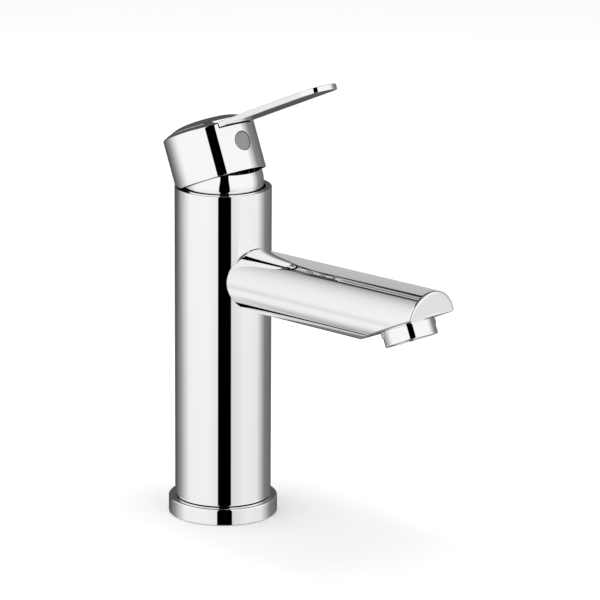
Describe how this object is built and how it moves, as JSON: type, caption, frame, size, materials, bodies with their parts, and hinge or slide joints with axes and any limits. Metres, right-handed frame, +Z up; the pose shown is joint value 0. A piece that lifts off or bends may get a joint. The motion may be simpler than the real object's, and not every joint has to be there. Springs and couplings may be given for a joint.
{
  "type": "bathroom mixer faucet",
  "caption": "Single-lever basin mixer: a round upright column with a straight round spout, an aerator under its nose, and a tilted cap with a flat lever on a domed collar.",
  "frame": {"origin": "on the column's axis at the deck surface, where the foot plate and the flange rest", "axes": "+Z up; the spout and the lever point towards -Y; hot is at -X and cold at +X"},
  "size_m": [0.0522, 0.1696, 0.2202],
  "materials": {
    "chrome": "polished chrome plating on brass",
    "brass": "machined brass",
    "steel": "stainless steel",
    "rubber": "black sealing rubber",
    "ceramic": "lapped ceramic",
    "white_plastic": "moulded white plastic",
    "grey_plastic": "moulded grey plastic"
  },
  "bodies": {
    "body": {"base_flange": "chrome", "base_seal": "rubber", "foot_plate": "brass", "hot_inlet_tube": "brass", "cold_inlet_tube": "brass", "hot_inlet_seal": "rubber", "cold_inlet_seal": "rubber", "column_body": "chrome", "valve_core": "brass", "cartridge_seal": "rubber", "cartridge_base": "white_plastic", "fixed_disc": "ceramic", "cartridge_housing": "white_plastic", "cartridge_nut": "brass", "dome_seal": "rubber", "bonnet_dome": "chrome", "spout_shell": "chrome", "spout_waterway": "white_plastic", "spout_seal": "rubber", "aerator_washer": "rubber", "aerator_housing": "chrome", "aerator_insert": "white_plastic", "aerator_screen": "steel"},
    "swivel": {"cartridge_rotor": "white_plastic", "spindle_pin": "steel"},
    "handle": {"handle_cap": "chrome", "lever_blade": "chrome", "spindle_adapter": "white_plastic", "spindle": "steel", "grub_screw": "steel", "index_plug": "grey_plastic"},
    "disc": {"moving_disc": "ceramic", "disc_carrier": "white_plastic"}
  },
  "joints": [
    {"name": "handle_swivel", "type": "hinge", "parent": "body", "child": "swivel", "pos_m": [0, 0, 0.1604], "axis": [0, 0, 1], "range_deg": [-50, 50]},
    {"name": "lever_lift", "type": "hinge", "parent": "swivel", "child": "handle", "pos_m": [0, 0, 0.1604], "axis": [-1, 0, 0], "range_deg": [-22.7, 0]},
    {"name": "disc_slide", "type": "slide", "parent": "swivel", "child": "disc", "axis": [0, 1, 0], "range_m": [0, 0.0044]}
  ],
  "couplings": [
    {"joint": "disc_slide", "follows": "lever_lift", "m_per_rad": -0.010715}
  ]
}
